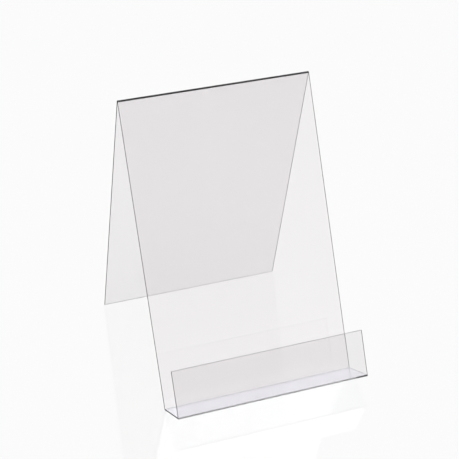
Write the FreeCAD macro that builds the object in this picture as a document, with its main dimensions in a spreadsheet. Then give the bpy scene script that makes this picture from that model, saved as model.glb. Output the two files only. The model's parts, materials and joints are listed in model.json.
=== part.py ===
"""Clear acrylic display easel: four flat panels of one sheet gauge, cemented at mitred corners.

Seen from the side the stand is an A with a small trough at its front foot. The front panel leans back from
the table corner to the ridge, the rear panel props it from behind, the shelf leaves the table corner square
to the front panel, and the lip stands up from the shelf, parallel to the front panel. Each mitre is filled
with a thin layer of cement, and the ridge is ground to a narrow flat, so that it has no knife edge.

Row frame: +X along the panels' width, +Y to the back, +Z up, origin on the table under the middle of the
stand's bounding box. Lengths in millimetres, angles in degrees.
"""
import FreeCAD, Part
import os
import Sketcher

# ------------------------------------------------------------------ driving dimensions
DIMENSIONS = {
    "width": 220.0,  # every panel is cut to this width
    "thickness": 1.5,  # one sheet gauge throughout
    "front_length": 340.0,  # front panel, from the table corner to the sharp ridge
    "front_tilt": 23.6,  # front panel's lean from the vertical
    "rear_tilt": 16.7,  # rear panel's lean from the vertical
    "shelf_depth": 51.0,  # shelf, measured over both of its corners
    "lip_height": 52.0,  # lip, from its corner to its top edge
    "ridge_flat": 2.0,  # flat ground along the ridge, front to back
    "cement": 0.1,  # cement layer between two mitre faces
    "arris": 0.3,  # chamfer that eases the cut side edges and the lip's top
}

# ------------------------------------------------------------------ sizes that follow from them
# Half of the angle between the two panels at the ridge, and the half angle of a square corner.
HALF_APEX = "((Sizes.front_tilt + Sizes.rear_tilt) / 2)"
HALF_SQUARE = "45"

# The ridge's flat lies this far below the line where the two outer faces would meet.
RIDGE_DROP = "(Sizes.ridge_flat / (tan(Sizes.front_tilt) + tan(Sizes.rear_tilt)))"
RIDGE_HEIGHT = "(Sizes.front_length * cos(Sizes.front_tilt) + Sizes.thickness * sin(Sizes.front_tilt))"
REAR_LENGTH = f"({RIDGE_HEIGHT} / cos(Sizes.rear_tilt))"

# How far the stand's corners lie apart along Y, and the shelf's rise.
RIDGE_RUN = "(Sizes.front_length * sin(Sizes.front_tilt) - Sizes.thickness * cos(Sizes.front_tilt))"
REAR_RUN = f"({RIDGE_HEIGHT} * tan(Sizes.rear_tilt))"
SHELF_RUN = "(Sizes.shelf_depth * cos(Sizes.front_tilt))"
SHELF_RISE = "(Sizes.shelf_depth * sin(Sizes.front_tilt))"

TABLE_CORNER_Y = f"(({SHELF_RUN} - {RIDGE_RUN} - {REAR_RUN}) / 2)"
FRONT_CORNER_Y = f"({TABLE_CORNER_Y} - {SHELF_RUN})"
RIDGE_Y = f"({TABLE_CORNER_Y} + {RIDGE_RUN})"
REAR_FOOT_Y = f"({RIDGE_Y} + {REAR_RUN})"

X_AXIS = FreeCAD.Vector(1, 0, 0)
TINY = 1e-6


def set_back(half_angle):
    """Half of the cement layer, measured along a panel: how far its mitre face stands back."""
    return f"(Sizes.cement / 2 / sin({half_angle}))"


def mitre_run(half_angle):
    """How far a mitre runs along a panel from the outer face to the inner one."""
    return f"(Sizes.thickness / tan({half_angle}))"


def ground_away(tilt):
    """How much of the ridge's mitre face the flat takes off a panel with this lean."""
    face_drop = f"({RIDGE_DROP} / cos({tilt}))"
    return f"(({face_drop} - {set_back(HALF_APEX)}) / (cos({HALF_APEX}) + sin({HALF_APEX}) * tan({tilt})))"


# ------------------------------------------------------------------ the document
doc = FreeCAD.newDocument("display_easel")


def add_sheet():
    """Put the driving dimensions in a spreadsheet, one named cell each."""
    sheet = doc.addObject("Spreadsheet::Sheet", "Sizes")
    for row, (name, value) in enumerate(DIMENSIONS.items(), start=1):
        sheet.set(f"A{row}", name)
        sheet.set(f"B{row}", str(value))
        sheet.setAlias(f"B{row}", name)
    doc.recompute()
    return sheet


def place(obj, x, y, z, turn):
    """Turn an object about X and move it to its place, all by expression."""
    obj.Placement = FreeCAD.Placement(FreeCAD.Vector(0, 0, 0), FreeCAD.Rotation(X_AXIS, 1))
    obj.setExpression("Placement.Rotation.Angle", turn)
    obj.setExpression("Placement.Base.x", x)
    obj.setExpression("Placement.Base.y", y)
    obj.setExpression("Placement.Base.z", z)


def dimension(sketch, kind, axis, index, expression, value):
    """Tie one coordinate of a section's corner to an expression, or to the axis where it is nothing."""
    if expression == "0":
        sketch.addConstraint(Sketcher.Constraint("PointOnObject", index, 1, axis))
    else:
        number = sketch.addConstraint(Sketcher.Constraint(kind, -1, 1, index, 1, value))
        sketch.setExpression(f"Constraints[{number}]", expression)


def draw_section(sketch, corners):
    """Draw a closed section through its corners, each given as (across, along) expressions."""
    points = [
        FreeCAD.Vector(sizes.evalExpression(across), sizes.evalExpression(along), 0)
        for across, along in corners
    ]
    count = len(points)
    for index, point in enumerate(points):
        sketch.addGeometry(Part.LineSegment(point, points[(index + 1) % count]))
    for index in range(count):
        sketch.addConstraint(Sketcher.Constraint("Coincident", index, 2, (index + 1) % count, 1))
    for index, (across, along) in enumerate(corners):
        dimension(sketch, "DistanceX", -2, index, across, points[index].x)
        dimension(sketch, "DistanceY", -1, index, along, points[index].y)


def open_edges(shape, top_is_open):
    """Name the edges a hand can reach: those along both sides and, on the lip, those round its top."""
    box = shape.BoundBox
    names = []
    for number, edge in enumerate(shape.Edges, start=1):
        reach = edge.BoundBox
        along_side = reach.XLength < TINY and reach.ZLength > box.ZLength / 2
        round_top = top_is_open and reach.ZMin > box.ZMax - TINY
        if along_side or round_top:
            names.append(f"Edge{number}")
    return names


def add_panel(name, corners, y, z, turn, top_is_open=False):
    """Make one flat panel: its section padded across the stand's width, its open edges eased.

    In the panel's own frame Z runs along the sheet and Y through its thickness.
    """
    body = doc.addObject("PartDesign::Body", name)
    side_plane = next(f for f in body.Origin.OriginFeatures if f.Role == "YZ_Plane")
    sketch = body.newObject("Sketcher::SketchObject", f"{name}_section")
    sketch.AttachmentSupport = (side_plane, [""])
    sketch.MapMode = "FlatFace"
    draw_section(sketch, corners)
    pad = body.newObject("PartDesign::Pad", f"{name}_pad")
    pad.Profile = sketch
    pad.SideType = "Symmetric"
    pad.setExpression("Length", "Sizes.width")
    doc.recompute()
    arris = body.newObject("PartDesign::Chamfer", f"{name}_arris")
    arris.Base = (pad, open_edges(pad.Shape, top_is_open))
    arris.setExpression("Size", "Sizes.arris")
    body.Tip = arris
    place(body, "0", y, z, turn)
    return body


def ridge_corners(length, tilt, outer, inner):
    """The upper end of a leaning panel: its outer face, the ground flat's inner end, its inner face."""
    back = set_back(HALF_APEX)
    ground = ground_away(tilt)
    towards_inner = 1 if outer != "0" else -1
    flat_end = (
        f"{outer} + {towards_inner} * {ground} * sin({HALF_APEX})",
        f"{length} - {back} - {ground} * cos({HALF_APEX})",
    )
    return [
        (outer, f"{length} - {RIDGE_DROP} / cos({tilt})"),
        flat_end,
        (inner, f"{length} - {back} - {mitre_run(HALF_APEX)}"),
    ]


def add_front_panel():
    """The tall panel: back face on its own Z axis, foot at the table corner, ridge at the top."""
    back = set_back(HALF_SQUARE)
    foot = [("0", back), ("-Sizes.thickness", f"Sizes.thickness + {back}")]
    top = ridge_corners("Sizes.front_length", "Sizes.front_tilt", "-Sizes.thickness", "0")
    return add_panel("front_panel", foot + top, TABLE_CORNER_Y, "0", "-Sizes.front_tilt")


def add_rear_panel():
    """The prop: outer face on its own Z axis, foot bevelled to lie flat on the table."""
    foot = [("-Sizes.thickness", "Sizes.thickness * tan(Sizes.rear_tilt)"), ("0", "0")]
    top = ridge_corners(REAR_LENGTH, "Sizes.rear_tilt", "0", "-Sizes.thickness")
    return add_panel("rear_support_panel", foot + top, REAR_FOOT_Y, "0", "Sizes.rear_tilt")


def add_shelf():
    """The ledge: underside on its own Z axis, which runs forward from the table corner."""
    back = set_back(HALF_SQUARE)
    corners = [
        ("0", back),
        ("0", f"Sizes.shelf_depth - {back}"),
        ("Sizes.thickness", f"Sizes.shelf_depth - Sizes.thickness - {back}"),
        ("Sizes.thickness", f"Sizes.thickness + {back}"),
    ]
    return add_panel("shelf_panel", corners, TABLE_CORNER_Y, "0", "90 - Sizes.front_tilt")


def add_lip():
    """The upstand: front face on its own Z axis, top edge cut square."""
    back = set_back(HALF_SQUARE)
    corners = [
        ("0", back),
        ("0", "Sizes.lip_height"),
        ("Sizes.thickness", "Sizes.lip_height"),
        ("Sizes.thickness", f"Sizes.thickness + {back}"),
    ]
    return add_panel("front_lip_panel", corners, FRONT_CORNER_Y, SHELF_RISE, "-Sizes.front_tilt", True)


def add_seam(name, half_angle, y, z, turn, ground="0"):
    """Fill one mitre with its layer of cement: a strip on the bisector, from the corner inwards."""
    start = f"({set_back(half_angle)} * cos({half_angle}) + {ground})"
    strip = doc.addObject("Part::Box", name)
    strip.setExpression("Length", "Sizes.width - 2 * Sizes.arris")
    strip.setExpression("Width", "Sizes.cement")
    strip.setExpression("Height", f"Sizes.thickness / sin({half_angle}) - {ground}")
    place(
        strip,
        "Sizes.arris - Sizes.width / 2",
        f"{y} - {start} * sin({turn}) - Sizes.cement / 2 * cos({turn})",
        f"{z} + {start} * cos({turn}) - Sizes.cement / 2 * sin({turn})",
        turn,
    )
    return strip


def check_document():
    """Stop if any object failed to recompute."""
    for obj in doc.Objects:
        if "Invalid" in obj.State or "Error" in obj.State:
            raise RuntimeError(f"{obj.Name} did not recompute: {obj.State}")


def check_pieces(pieces):
    """Stop if a piece is not one valid solid, or if two pieces run into each other."""
    for piece in pieces:
        if piece.Shape.isNull() or not piece.Shape.isValid() or len(piece.Shape.Solids) != 1:
            raise RuntimeError(f"{piece.Label} is not one valid solid")
    for index, one in enumerate(pieces):
        for other in pieces[index + 1 :]:
            overlap = one.Shape.common(other.Shape).Volume
            if overlap > TINY:
                raise RuntimeError(f"{one.Label} and {other.Label} overlap by {overlap:.6f} mm3")


sizes = add_sheet()
pieces = [
    add_front_panel(),
    add_rear_panel(),
    add_shelf(),
    add_lip(),
    add_seam(
        "apex_cement_seam",
        HALF_APEX,
        RIDGE_Y,
        RIDGE_HEIGHT,
        "(180 + (Sizes.rear_tilt - Sizes.front_tilt) / 2)",
        ground_away("Sizes.front_tilt"),
    ),
    add_seam("shelf_cement_seam", HALF_SQUARE, TABLE_CORNER_Y, "0", "(45 - Sizes.front_tilt)"),
    add_seam("lip_cement_seam", HALF_SQUARE, FRONT_CORNER_Y, SHELF_RISE, "(-45 - Sizes.front_tilt)"),
]
doc.recompute()
check_document()
check_pieces(pieces)

os.makedirs("parts", exist_ok=True)
for piece in pieces:
    piece.Shape.exportStep(f"parts/{piece.Label}.step")
    print(f"{piece.Label}: {piece.Shape.Volume:.1f} mm3, {piece.Shape.BoundBox}")
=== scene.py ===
"""Looks of the clear acrylic display easel.

Clear sheet whose sawn edges are painted near black as painted shade, clear cement whose foot
corner is painted near black as painted shade, a pale glossy table and a soft dome.
"""
import json
import math

import bpy
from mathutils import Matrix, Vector


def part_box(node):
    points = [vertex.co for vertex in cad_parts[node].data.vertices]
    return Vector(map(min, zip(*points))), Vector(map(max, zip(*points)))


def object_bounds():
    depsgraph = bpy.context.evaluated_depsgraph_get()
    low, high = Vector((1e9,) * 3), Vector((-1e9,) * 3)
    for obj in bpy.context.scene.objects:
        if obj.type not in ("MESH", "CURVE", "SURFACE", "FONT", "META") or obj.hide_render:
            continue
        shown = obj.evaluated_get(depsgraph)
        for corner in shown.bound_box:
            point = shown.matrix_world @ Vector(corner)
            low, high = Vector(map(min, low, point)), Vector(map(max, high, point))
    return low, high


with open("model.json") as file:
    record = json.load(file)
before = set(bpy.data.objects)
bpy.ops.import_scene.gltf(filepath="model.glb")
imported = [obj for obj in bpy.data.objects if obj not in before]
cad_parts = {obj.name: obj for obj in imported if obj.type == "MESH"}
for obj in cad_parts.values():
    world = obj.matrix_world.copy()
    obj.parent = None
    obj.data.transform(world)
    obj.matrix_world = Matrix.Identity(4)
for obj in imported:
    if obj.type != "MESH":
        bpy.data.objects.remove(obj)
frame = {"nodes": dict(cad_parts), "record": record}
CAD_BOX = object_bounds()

# ---------------------------------------------------------------- the stand, as the frame gives it
LOW, HIGH = CAD_BOX
CENTRE = (Vector(LOW) + Vector(HIGH)) / 2
WIDTH = HIGH[0] - LOW[0]
MOUNTS = {mount["name"]: mount for mount in frame["record"]["mounts"]}
FRONT_NORMAL = Vector(MOUNTS["display_face"]["axis"])
SHELF_NORMAL = Vector(MOUNTS["ledge_face"]["axis"])
APEX, SHELF_JOINT, LIP_JOINT = "apex_cement_seam", "shelf_cement_seam", "lip_cement_seam"

# ---------------------------------------------------------------- the camera
CAMERA_AZIMUTH = math.radians(20.95)  # the camera stands this far to the left of straight on
CAMERA_ELEVATION = math.radians(29.54)
CAMERA_DISTANCE = 7.139 * WIDTH
SENSOR = 36.0
LENS = 111.4
CLIP_NEAR = 0.01
CLIP_FAR = 100.0

# ---------------------------------------------------------------- the studio
# Stops of (height on the dome, brightness).
DOME = ((0.10, 0.50), (0.34, 1.10), (0.66, 1.30), (0.86, 4.50))
DOME_PEAK = max(brightness for _, brightness in DOME)
FLOOR_GREY = 0.362
FLOOR_IOR = 1.85
FLOOR_HALF = 30.0
FLOOR_GAP = 0.0002  # clearance under the stand
FLOOR_ROUGHNESS = 0.02
FLOOR_UNEVENNESS = 0.03  # roughness added in the dullest patches
FLOOR_PATCHES = 14.0  # patches a metre
LIGHT_BOUNCES = 32  # light that runs along inside a sheet bounces many times before it leaves

# ---------------------------------------------------------------- the clear sheet
ACRYLIC_IOR = 1.49
# The four sheets are one clear acrylic; each tint holds painted shade for the grey veil that sheet
# shows, the lip painted darker and the rear darkest, and the shelf's tint is painted lavender.
FRONT_SHADED_TINT = (0.961, 0.945, 0.953)
REAR_SHADED_TINT = (0.858, 0.845, 0.851)
LIP_SHADED_TINT = (0.905, 0.893, 0.899)
SHELF_PAINTED_TINT = (0.945, 0.952, 1.0)
FRONT_RIDGE_PAINTED_SHADE = 0.14  # painted shade: how far the front sheet is darkened at the ridge
REAR_TABLE_PAINTED_SHADE = 0.10  # painted shade: how far the rear sheet is darkened at the table
REAR_SHADE_GATHERING = 2.0  # keeps most of the rear sheet's painted shade near the table
DARKEST_DRIFT_AND_SHADE = 0.5  # the darkest colour that the drift and the painted shade reach, as a share of the tint
CLOUD = 0.02  # how far the colour drifts
CLOUD_PATCHES = 9.0  # patches a metre
HAZE = 0.25  # roughness of the worst of the handling haze
HAZE_PATCHES = 26.0  # patches a metre
HAZE_SPARSENESS = 6.0  # higher leaves fewer, smaller patches
SHELF_DUST = 0.037  # share of the light that the dust on the shelf scatters

# ---------------------------------------------------------------- the sawn edges
# The sawn edges are painted near black: painted shade for the dark lines that light bent inside
# the sheet makes along them.
EDGE_PAINTED_SHADE = (0.010, 0.010, 0.011)
EDGE_IOR = 1.15
EDGE_ROUGHNESS = 0.6
FLAMED = 0.15  # how much clearer a flamed edge is than a sawn one
SAW_MARKS = 1400.0  # marks a metre
SAW_STRETCH = (1.0, 1.0, 0.6)  # the marks run longer up the edge than across it
SAW_LIGHTEST = 1.8  # the lightest mark, as a share of the edge's painted shade
SAW_DEPTH = 0.00003
SAW_STRENGTH = 0.5

# ---------------------------------------------------------------- the cement
CEMENT_TINT = (0.97, 0.965, 0.95)
FOOT_CEMENT_PAINTED_SHADE = (0.03, 0.03, 0.03)  # painted shade: the cement in the corner at the foot is painted near black
BUBBLES = 900.0  # bubbles a metre
BUBBLE_THRESHOLD = 0.66  # higher leaves fewer bubbles
BUBBLE_SHADE = 0.85  # a bubble's colour, as a share of the cement's
BUBBLE_ROUGHNESS = 0.3

# ---------------------------------------------------------------- telling the faces apart
SQUARE_ON = 0.995  # a face this square to a mitre's own direction is the mitre
FACE_ON = 0.78  # a face less square than this to its sheet is an edge or an arris
HAIR = 1e-5  # slack around a seam's box
CLEAR = (1.0, 1.0, 1.0)


def add_camera():
    """Look at the middle of the stand's box from the front left and above."""
    data = bpy.data.cameras.new("camera")
    data.sensor_width = SENSOR
    data.lens = LENS
    data.clip_start = CLIP_NEAR
    data.clip_end = CLIP_FAR
    camera = bpy.data.objects.new("camera", data)
    bpy.context.scene.collection.objects.link(camera)
    level = math.cos(CAMERA_ELEVATION)
    ahead = Vector(
        (
            math.sin(CAMERA_AZIMUTH) * level,
            math.cos(CAMERA_AZIMUTH) * level,
            -math.sin(CAMERA_ELEVATION),
        )
    )
    camera.location = CENTRE - ahead * CAMERA_DISTANCE
    camera.rotation_mode = "QUATERNION"
    camera.rotation_quaternion = ahead.to_track_quat("-Z", "Y")
    bpy.context.scene.camera = camera


def add_dome():
    """A soft white dome, brightest overhead where the soft box hangs."""
    world = bpy.data.worlds.new("studio")
    bpy.context.scene.world = world
    world.use_nodes = True
    tree = world.node_tree
    background = tree.nodes["Background"]
    where = tree.nodes.new("ShaderNodeTexCoord")
    split = tree.nodes.new("ShaderNodeSeparateXYZ")
    ramp = tree.nodes.new("ShaderNodeValToRGB")
    tree.links.new(where.outputs["Generated"], split.inputs[0])
    tree.links.new(split.outputs["Z"], ramp.inputs["Fac"])
    tree.links.new(ramp.outputs["Color"], background.inputs["Color"])
    stops = ramp.color_ramp.elements
    while len(stops) < len(DOME):
        stops.new(0.5)
    for stop, (height, brightness) in zip(stops, DOME):
        grey = brightness / DOME_PEAK
        stop.position = height
        stop.color = (grey, grey, grey, 1)
    background.inputs["Strength"].default_value = DOME_PEAK


# ---------------------------------------------------------------- shader building blocks
def maths(tree, operation, first, second=0.0, third=0.0):
    """One Math node's output; each input is a socket or a number."""
    node = tree.nodes.new("ShaderNodeMath")
    node.operation = operation
    for socket, value in zip(node.inputs, (first, second, third)):
        if isinstance(value, (int, float)):
            socket.default_value = value
        else:
            tree.links.new(value, socket)
    return node.outputs[0]


def facing(tree, direction):
    """How squarely a face looks along a direction or against it, from 0 to 1."""
    geometry = tree.nodes.new("ShaderNodeNewGeometry")
    node = tree.nodes.new("ShaderNodeVectorMath")
    node.operation = "DOT_PRODUCT"
    node.inputs[1].default_value = direction
    tree.links.new(geometry.outputs["True Normal"], node.inputs[0])
    return maths(tree, "ABSOLUTE", node.outputs["Value"])


def place(tree):
    """The X, Y and Z of the point being shaded, in metres."""
    geometry = tree.nodes.new("ShaderNodeNewGeometry")
    split = tree.nodes.new("ShaderNodeSeparateXYZ")
    tree.links.new(geometry.outputs["Position"], split.inputs[0])
    return split.outputs


def mix(tree, share, first, second):
    """Mix two colours, each a socket or three numbers."""
    node = tree.nodes.new("ShaderNodeMix")
    node.data_type = "RGBA"
    tree.links.new(share, node.inputs["Factor"])
    for name, value in (("A", first), ("B", second)):
        socket = next(s for s in node.inputs if s.name == name and s.type == "RGBA")
        if isinstance(value, tuple):
            socket.default_value = (*value, 1)
        else:
            tree.links.new(value, socket)
    return next(s for s in node.outputs if s.type == "RGBA")


def scaled(colour, share):
    """A colour made lighter or darker."""
    return tuple(channel * share for channel in colour)


def noise(tree, scale, stretch=(1, 1, 1), detail=3.0):
    """Noise of so many features a metre, stretched along the stand's axes, from 0 to 1."""
    where = tree.nodes.new("ShaderNodeTexCoord")
    mapping = tree.nodes.new("ShaderNodeMapping")
    mapping.inputs["Scale"].default_value = stretch
    texture = tree.nodes.new("ShaderNodeTexNoise")
    texture.inputs["Scale"].default_value = scale
    texture.inputs["Detail"].default_value = detail
    tree.links.new(where.outputs["Object"], mapping.inputs["Vector"])
    tree.links.new(mapping.outputs["Vector"], texture.inputs["Vector"])
    return texture.outputs["Fac"]


def joint_faces(tree, seams):
    """1 on the faces that a panel and its cement share, where light runs straight on; else 0."""
    here = place(tree)
    total = 0.0
    for seam in seams:
        low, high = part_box(seam)
        middle, reach = (low + high) / 2, (high - low) / 2
        share = maths(tree, "GREATER_THAN", facing(tree, SEAM_NORMALS[seam]), SQUARE_ON)
        for axis in (1, 2):
            off = maths(tree, "ABSOLUTE", maths(tree, "SUBTRACT", here[axis], middle[axis]))
            inside = maths(tree, "LESS_THAN", off, reach[axis] + HAIR)
            share = maths(tree, "MULTIPLY", share, inside)
        total = maths(tree, "ADD", total, share)
    return total


def unbent_at_joints(tree, bend, joint):
    """An index of refraction, brought down to 1 on the joint faces."""
    return maths(tree, "SUBTRACT", bend, maths(tree, "MULTIPLY", joint, ACRYLIC_IOR - 1.0))


def new_material(name):
    """A material with one Principled shader, its tree and the shader."""
    material = bpy.data.materials.new(name)
    material.use_nodes = True
    return material, material.node_tree, material.node_tree.nodes["Principled BSDF"]


def add_bump(tree, shader, height, distance, strength):
    """Raise the surface a little where height is high."""
    bump = tree.nodes.new("ShaderNodeBump")
    bump.inputs["Distance"].default_value = distance
    bump.inputs["Strength"].default_value = strength
    tree.links.new(height, bump.inputs["Height"])
    tree.links.new(bump.outputs["Normal"], shader.inputs["Normal"])


# ---------------------------------------------------------------- the finishes
def acrylic(
    name, normal, tint_and_shade, seams, painted_shade_up=0.0, painted_shade_down=0.0, polished=None, dust=0.0
):
    """Clear sheet with polished faces; its sawn edges and their arrises are painted near black, as
    painted shade, and are dull.

    The normal is the sheet's own, and the seams are the cement layers that the sheet meets.
    An edge that looks along the polished direction has been flamed, and is clearer than the rest.
    """
    material, tree, shader = new_material(name)
    joint = joint_faces(tree, seams)
    open_face = maths(tree, "SUBTRACT", 1.0, joint)
    askew = maths(tree, "LESS_THAN", facing(tree, normal), FACE_ON)
    edge = maths(tree, "MULTIPLY", askew, open_face)
    if polished:
        flamed = maths(tree, "MULTIPLY", facing(tree, polished), FLAMED)
        edge = maths(tree, "MULTIPLY", edge, maths(tree, "SUBTRACT", 1.0, flamed))

    # The sheet's colour drifts a little at random, and painted shade darkens it towards the ridge
    # or the table.
    cloud = maths(tree, "MULTIPLY", noise(tree, CLOUD_PATCHES, detail=1.0), CLOUD)
    above = maths(tree, "DIVIDE", place(tree)["Z"], HIGH[2])
    below = maths(tree, "MAXIMUM", maths(tree, "SUBTRACT", 1.0, above), 0.0)
    drift_and_shade = maths(tree, "MULTIPLY_ADD", above, painted_shade_up, cloud)
    near_table = maths(tree, "POWER", below, REAR_SHADE_GATHERING)
    drift_and_shade = maths(tree, "MULTIPLY_ADD", near_table, painted_shade_down, drift_and_shade)
    sheet = mix(tree, drift_and_shade, tint_and_shade, scaled(tint_and_shade, DARKEST_DRIFT_AND_SHADE))

    # The edges' near black is painted shade; the saw leaves fine marks across it, darker and
    # lighter by turns.
    marks = noise(tree, SAW_MARKS, stretch=SAW_STRETCH, detail=2.0)
    painted_dark_edge = mix(tree, marks, EDGE_PAINTED_SHADE, scaled(EDGE_PAINTED_SHADE, SAW_LIGHTEST))
    colour = mix(tree, edge, sheet, painted_dark_edge)
    tree.links.new(mix(tree, joint, colour, CLEAR), shader.inputs["Base Color"])

    # Light bends at an open face, less at a sawn edge, and not at all where cement meets sheet.
    at_edge = maths(tree, "MULTIPLY", edge, ACRYLIC_IOR - EDGE_IOR)
    bend = maths(tree, "SUBTRACT", ACRYLIC_IOR, at_edge)
    tree.links.new(unbent_at_joints(tree, bend, joint), shader.inputs["IOR"])

    # Dust on an open face scatters a little of the light that falls on it.
    solid = maths(tree, "MAXIMUM", edge, maths(tree, "MULTIPLY", open_face, dust))
    tree.links.new(maths(tree, "SUBTRACT", 1.0, solid), shader.inputs["Transmission Weight"])

    # Handling leaves a faint haze in patches on the polished faces.
    patches = maths(tree, "POWER", noise(tree, HAZE_PATCHES, detail=4.0), HAZE_SPARSENESS)
    dull = maths(tree, "MULTIPLY", maths(tree, "MULTIPLY", patches, HAZE), open_face)
    rough = maths(tree, "ADD", dull, maths(tree, "MULTIPLY", edge, EDGE_ROUGHNESS))
    tree.links.new(rough, shader.inputs["Roughness"])
    add_bump(tree, shader, maths(tree, "MULTIPLY", marks, edge), SAW_DEPTH, SAW_STRENGTH)
    return material


def cement(name, tint_and_shade, seams):
    """Cured solvent cement with a few small bubbles where it shows."""
    material, tree, shader = new_material(name)
    shader.inputs["Transmission Weight"].default_value = 1.0
    joint = joint_faces(tree, seams)
    open_face = maths(tree, "SUBTRACT", 1.0, joint)
    bubbles = maths(tree, "GREATER_THAN", noise(tree, BUBBLES, detail=1.0), BUBBLE_THRESHOLD)
    shown = maths(tree, "MULTIPLY", bubbles, open_face)
    milky = mix(tree, shown, tint_and_shade, scaled(tint_and_shade, BUBBLE_SHADE))
    tree.links.new(mix(tree, joint, milky, CLEAR), shader.inputs["Base Color"])
    tree.links.new(unbent_at_joints(tree, ACRYLIC_IOR, joint), shader.inputs["IOR"])
    tree.links.new(maths(tree, "MULTIPLY", shown, BUBBLE_ROUGHNESS), shader.inputs["Roughness"])
    return material


def add_floor():
    """A pale glossy table top that runs on past the view."""
    signs = ((-1, -1), (1, -1), (1, 1), (-1, 1))
    corners = [(x * FLOOR_HALF, y * FLOOR_HALF, 0) for x, y in signs]
    mesh = bpy.data.meshes.new("floor")
    mesh.from_pydata(corners, [], [(0, 1, 2, 3)])
    floor = bpy.data.objects.new("floor", mesh)
    floor.location.z = LOW[2] - FLOOR_GAP
    bpy.context.scene.collection.objects.link(floor)
    material, tree, shader = new_material("pale_floor")
    shader.inputs["Base Color"].default_value = (FLOOR_GREY, FLOOR_GREY, FLOOR_GREY, 1)
    shader.inputs["IOR"].default_value = FLOOR_IOR
    patches = noise(tree, FLOOR_PATCHES)
    gloss = maths(tree, "MULTIPLY_ADD", patches, FLOOR_UNEVENNESS, FLOOR_ROUGHNESS)
    tree.links.new(gloss, shader.inputs["Roughness"])
    mesh.materials.append(material)


def dress(node, material):
    """Give a CAD piece its finish, and let light through it, as clear sheet does."""
    piece = frame["nodes"][node]
    for slot in piece.material_slots:
        slot.material = material
    piece.visible_shadow = False
    piece.visible_diffuse = False


def rear_normal():
    """The way the rear panel's outer face looks: square to its broadest face, and to the back."""
    broadest = max(frame["nodes"]["rear_support_panel"].data.polygons, key=lambda face: face.area)
    return broadest.normal * math.copysign(1.0, broadest.normal.y)


REAR_NORMAL = rear_normal()
SEAM_NORMALS = {
    APEX: (REAR_NORMAL - FRONT_NORMAL).normalized(),
    SHELF_JOINT: (FRONT_NORMAL - SHELF_NORMAL).normalized(),
    LIP_JOINT: (FRONT_NORMAL + SHELF_NORMAL).normalized(),
}

add_camera()
add_dome()
add_floor()
front_sheet = acrylic(
    "front_sheet", FRONT_NORMAL, FRONT_SHADED_TINT, (APEX, SHELF_JOINT), painted_shade_up=FRONT_RIDGE_PAINTED_SHADE
)
rear_sheet = acrylic("rear_sheet", REAR_NORMAL, REAR_SHADED_TINT, (APEX,), painted_shade_down=REAR_TABLE_PAINTED_SHADE)
shelf_sheet = acrylic(
    "shelf_sheet", SHELF_NORMAL, SHELF_PAINTED_TINT, (SHELF_JOINT, LIP_JOINT), dust=SHELF_DUST
)
lip_sheet = acrylic("lip_sheet", FRONT_NORMAL, LIP_SHADED_TINT, (LIP_JOINT,), polished=SHELF_NORMAL)
clear_cement = cement("clear_cement", CEMENT_TINT, (APEX, LIP_JOINT))
# The foot cement is painted near black: painted shade in the corner where the shelf meets the
# front sheet.
foot_cement_painted_shade = cement("foot_cement_painted_shade", FOOT_CEMENT_PAINTED_SHADE, (SHELF_JOINT,))
dress("front_panel", front_sheet)
dress("rear_support_panel", rear_sheet)
dress("shelf_panel", shelf_sheet)
dress("front_lip_panel", lip_sheet)
dress(APEX, clear_cement)
dress(LIP_JOINT, clear_cement)
dress(SHELF_JOINT, foot_cement_painted_shade)

scene = bpy.context.scene
scene.view_settings.view_transform = "Standard"
scene.cycles.max_bounces = LIGHT_BOUNCES
scene.cycles.transmission_bounces = LIGHT_BOUNCES
scene.cycles.glossy_bounces = LIGHT_BOUNCES
